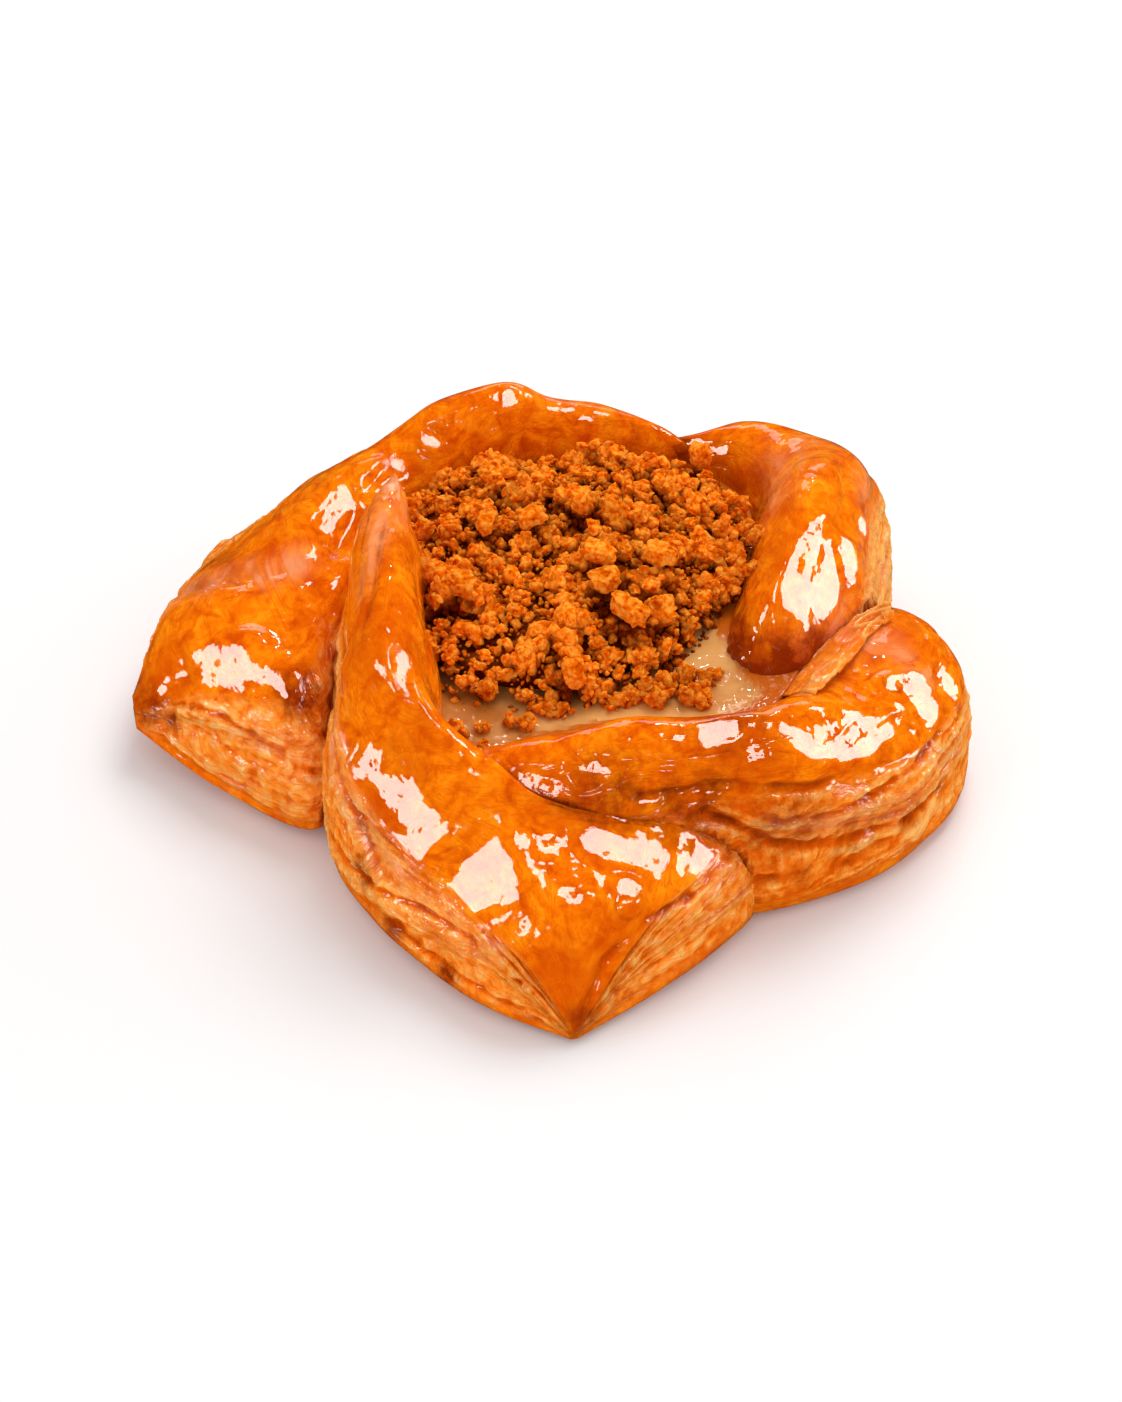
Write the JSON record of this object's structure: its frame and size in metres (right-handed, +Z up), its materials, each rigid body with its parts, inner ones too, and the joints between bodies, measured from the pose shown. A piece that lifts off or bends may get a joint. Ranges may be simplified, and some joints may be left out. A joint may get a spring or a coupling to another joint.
{
  "type": "danish pastry",
  "caption": "Glazed pinwheel danish pastry whose overlapping laminated arms fold round a custard cream well heaped with caramel biscuit crumbs.",
  "frame": {"origin": "centre of the overall bounding box, on the resting plane", "axes": "+Z up out of the filled well; -Y towards the front corner lobe, +X towards the rounded right lobe, and X the longest extent"},
  "size_m": [0.1104, 0.0954, 0.0375],
  "materials": {
    "dough": "glossy glazed pastry",
    "cream": "glossy custard cream",
    "crumbs": "matte caramel biscuit"
  },
  "bodies": {
    "root": {"dough": "dough", "cream": "cream", "crumbs": "crumbs"}
  },
  "joints": []
}
